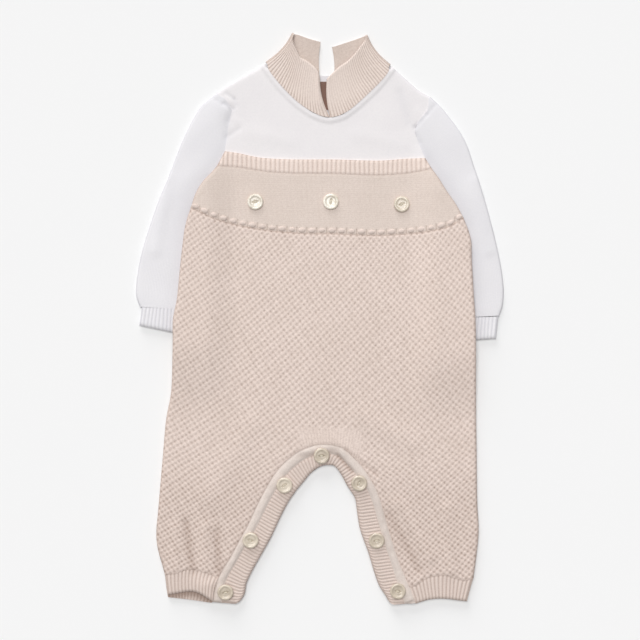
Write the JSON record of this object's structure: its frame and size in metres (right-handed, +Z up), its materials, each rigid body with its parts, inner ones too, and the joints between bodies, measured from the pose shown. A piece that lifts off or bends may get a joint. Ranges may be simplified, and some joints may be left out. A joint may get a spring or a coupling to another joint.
{
  "type": "baby romper",
  "caption": "Long-sleeved knitted baby romper laid flat: white yoke and sleeves, beige textured dungaree body, split ribbed collar, buttoned inseam.",
  "frame": {"origin": "middle of the garment's outline, on the surface that it lies on", "axes": "+Y towards the collar, +X towards the wearer's left, +Z up out of the front"},
  "size_m": [0.3126, 0.4894, 0.0102],
  "materials": {
    "white_knit": "fine cotton stockinette, matt",
    "white_rib": "fine cotton rib, matt",
    "beige_knit": "fine cotton stockinette, matt",
    "beige_rib": "cotton rib, matt",
    "beige_honeycomb": "cotton honeycomb stitch, matt",
    "brown_tape": "plain woven tape",
    "pearl": "cream pearl"
  },
  "bodies": {
    "root": {"yoke_front": "white_knit", "yoke_back": "white_knit", "sleeve_left": "white_knit", "sleeve_right": "white_knit", "sleeve_cuff_left": "white_rib", "sleeve_cuff_right": "white_rib", "collar_left": "beige_rib", "collar_right": "beige_rib", "chest_rib_front": "beige_rib", "chest_rib_back": "beige_rib", "bib_front": "beige_knit", "bib_back": "beige_knit", "body_front": "beige_honeycomb", "body_back": "beige_honeycomb", "ankle_cuff_left_front": "beige_rib", "ankle_cuff_left_back": "beige_rib", "ankle_cuff_right_front": "beige_rib", "ankle_cuff_right_back": "beige_rib", "inseam_roll": "beige_knit", "inseam_band_front": "beige_rib", "inseam_band_back": "beige_rib", "neck_label": "brown_tape", "button_bib_1": "pearl", "button_bib_2": "pearl", "button_bib_3": "pearl", "button_crotch": "pearl", "button_left_leg_1": "pearl", "button_left_leg_2": "pearl", "button_left_leg_3": "pearl", "button_right_leg_1": "pearl", "button_right_leg_2": "pearl", "button_right_leg_3": "pearl"}
  },
  "joints": []
}
